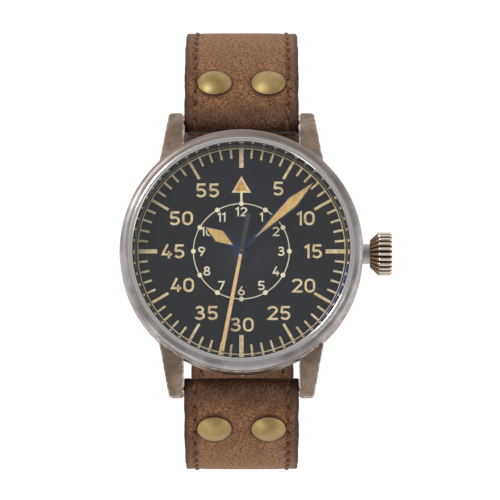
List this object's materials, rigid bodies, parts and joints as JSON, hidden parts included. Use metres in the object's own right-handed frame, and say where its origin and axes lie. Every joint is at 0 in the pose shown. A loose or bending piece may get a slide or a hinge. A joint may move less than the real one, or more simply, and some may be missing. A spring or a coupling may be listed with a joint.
{
  "type": "pilot watch",
  "caption": "Pilot's wristwatch: round steel case with lugs and fluted crown, three hands, wheel train, and an unbuckled riveted leather strap with keepers and pin buckle.",
  "frame": {"origin": "centre of the case back's outer face", "axes": "+Z out of the dial, +Y towards 12 o'clock, +X towards the crown at 3 o'clock"},
  "size_m": [0.047, 0.078, 0.0748],
  "materials": {
    "weathered_steel": "weathered matte",
    "worn_crown": "weathered matte",
    "polished_steel": "polished",
    "sapphire": "clear",
    "dial_black": "matte lacquer",
    "flange_black": "matte",
    "seal_rubber": "matte",
    "blued_steel": "blued",
    "lume_hand": "luminous paint",
    "brass_wheels": "gilt",
    "movement_plate": "rhodium",
    "holder_steel": "satin",
    "antique_brass": "antique satin",
    "brown_leather": "oiled",
    "lining_leather": "suede"
  },
  "bodies": {
    "case": {"case_middle": "weathered_steel", "bezel": "weathered_steel", "crystal": "sapphire", "crystal_gasket": "seal_rubber", "flange_ring": "flange_black", "dial": "dial_black", "case_back": "weathered_steel", "case_back_gasket": "seal_rubber", "crown_tube": "polished_steel", "main_plate": "movement_plate", "barrel_bridge": "movement_plate", "train_bridge": "movement_plate", "balance_cock": "movement_plate", "bridge_screws": "blued_steel", "pallet_bridge": "movement_plate", "movement_holder": "holder_steel", "holder_clamps": "holder_steel", "holder_screws": "blued_steel", "rotor_bearing": "polished_steel", "hairspring": "blued_steel", "spring_bar_12": "polished_steel", "spring_bar_6": "polished_steel"},
    "crown_pull": {"crown_gasket": "seal_rubber"},
    "crown": {"crown": "worn_crown", "winding_stem": "polished_steel"},
    "winding_pinion": {"winding_pinion": "polished_steel"},
    "sliding_pinion": {"sliding_pinion": "polished_steel"},
    "crown_wheel": {"crown_wheel": "polished_steel"},
    "ratchet": {"ratchet_wheel": "polished_steel", "barrel_arbor": "polished_steel"},
    "barrel": {"mainspring_barrel": "brass_wheels", "mainspring": "polished_steel"},
    "center": {"center_wheel": "brass_wheels"},
    "third": {"third_wheel": "brass_wheels"},
    "seconds": {"fourth_wheel": "brass_wheels", "second_hand": "lume_hand"},
    "escape": {"escape_wheel": "polished_steel"},
    "pallets": {"pallet_fork": "polished_steel"},
    "balance": {"balance_wheel": "brass_wheels"},
    "minutes": {"minute_hand": "blued_steel", "cannon_pinion": "polished_steel"},
    "minute_wheel": {"minute_wheel": "brass_wheels"},
    "hours": {"hour_hand": "blued_steel", "hour_wheel": "brass_wheels"},
    "rotor": {"rotor": "brass_wheels"},
    "strap_12": {"strap_12_outer": "brown_leather", "strap_12_lining": "lining_leather", "rivets_12": "antique_brass", "fixed_keeper": "brown_leather"},
    "strap_6": {"strap_6_outer": "brown_leather", "strap_6_lining": "lining_leather", "rivets_6": "antique_brass"},
    "sliding_keeper": {"sliding_keeper": "brown_leather"},
    "buckle": {"buckle_frame": "antique_brass", "buckle_bar": "antique_brass"},
    "tongue": {"buckle_tongue": "antique_brass"}
  },
  "joints": [
    {"name": "strap_12_swing", "type": "hinge", "parent": "case", "child": "strap_12", "pos_m": [0, 0.0232, 0.0029], "axis": [1, 0, 0], "range_deg": [0, 90]},
    {"name": "strap_6_swing", "type": "hinge", "parent": "case", "child": "strap_6", "pos_m": [0, -0.0232, 0.0029], "axis": [1, 0, 0], "range_deg": [-90, 0]},
    {"name": "keeper_slide", "type": "hinge", "parent": "strap_12", "child": "sliding_keeper", "pos_m": [0, 0.02201, -0.02474], "axis": [1, 0, 0], "range_deg": [-0.8, 18]},
    {"name": "buckle_swing", "type": "hinge", "parent": "strap_12", "child": "buckle", "pos_m": [0, 0.01174, -0.04049], "axis": [1, 0, 0], "range_deg": [-50, 20]},
    {"name": "tongue_swing", "type": "hinge", "parent": "buckle", "child": "tongue", "pos_m": [0, 0.01174, -0.04049], "axis": [1, 0, 0], "range_deg": [0, 88]},
    {"name": "crown_pull", "type": "slide", "parent": "case", "child": "crown_pull", "axis": [1, 0, 0], "range_m": [0, 0.0012]},
    {"name": "crown_turn", "type": "hinge", "parent": "crown_pull", "child": "crown", "pos_m": [0, 0, 0.0049], "axis": [1, 0, 0], "continuous": true},
    {"name": "winding_pinion_turn", "type": "hinge", "parent": "case", "child": "winding_pinion", "pos_m": [0, 0, 0.0049], "axis": [1, 0, 0], "continuous": true},
    {"name": "sliding_pinion_turn", "type": "hinge", "parent": "case", "child": "sliding_pinion", "pos_m": [0, 0, 0.0049], "axis": [1, 0, 0], "continuous": true},
    {"name": "crown_wheel_turn", "type": "hinge", "parent": "case", "child": "crown_wheel", "pos_m": [0.0073, 0, 0], "axis": [0, 0, 1], "continuous": true},
    {"name": "ratchet_turn", "type": "hinge", "parent": "case", "child": "ratchet", "pos_m": [0.00248, 0.00533, 0], "axis": [0, 0, 1], "continuous": true},
    {"name": "second_turn", "type": "hinge", "parent": "case", "child": "seconds", "pos_m": [0, 0, 0], "axis": [0, 0, 1], "continuous": true},
    {"name": "third_turn", "type": "hinge", "parent": "case", "child": "third", "pos_m": [-0.0031, -0.00217, 0], "axis": [0, 0, 1], "continuous": true},
    {"name": "center_turn", "type": "hinge", "parent": "case", "child": "center", "pos_m": [0, 0, 0], "axis": [0, 0, 1], "continuous": true},
    {"name": "barrel_turn", "type": "hinge", "parent": "case", "child": "barrel", "pos_m": [0.00248, 0.00533, 0], "axis": [0, 0, 1], "continuous": true},
    {"name": "escape_turn", "type": "hinge", "parent": "case", "child": "escape", "pos_m": [0.00098, -0.00367, 0], "axis": [0, 0, 1], "continuous": true},
    {"name": "minute_turn", "type": "hinge", "parent": "case", "child": "minutes", "pos_m": [0, 0, 0], "axis": [0, 0, 1], "continuous": true},
    {"name": "minute_wheel_turn", "type": "hinge", "parent": "case", "child": "minute_wheel", "pos_m": [-0.0009, -0.00248, 0], "axis": [0, 0, 1], "continuous": true},
    {"name": "hour_turn", "type": "hinge", "parent": "case", "child": "hours", "pos_m": [0, 0, 0], "axis": [0, 0, 1], "continuous": true},
    {"name": "rotor_turn", "type": "hinge", "parent": "case", "child": "rotor", "pos_m": [0, 0, 0], "axis": [0, 0, 1], "continuous": true},
    {"name": "pallet_rock", "type": "hinge", "parent": "case", "child": "pallets", "pos_m": [0.00294, -0.0053, 0], "axis": [0, 0, 1], "range_deg": [-5, 5]},
    {"name": "balance_swing", "type": "hinge", "parent": "case", "child": "balance", "pos_m": [0.00454, -0.00722, 0], "axis": [0, 0, 1], "range_deg": [-270, 270], "deforming": ["hairspring"]}
  ],
  "couplings": [
    {"joint": "winding_pinion_turn", "follows": "crown_turn", "ratio": 1},
    {"joint": "sliding_pinion_turn", "follows": "crown_turn", "ratio": 1},
    {"joint": "crown_wheel_turn", "follows": "crown_turn", "ratio": 0.7},
    {"joint": "ratchet_turn", "follows": "crown_turn", "ratio": -0.35},
    {"joint": "third_turn", "follows": "second_turn", "ratio": -0.13333},
    {"joint": "center_turn", "follows": "second_turn", "ratio": 0.016667},
    {"joint": "barrel_turn", "follows": "second_turn", "ratio": -0.0027778},
    {"joint": "escape_turn", "follows": "second_turn", "ratio": -10},
    {"joint": "minute_wheel_turn", "follows": "minute_turn", "ratio": -0.33333},
    {"joint": "hour_turn", "follows": "minute_turn", "ratio": 0.083333}
  ]
}
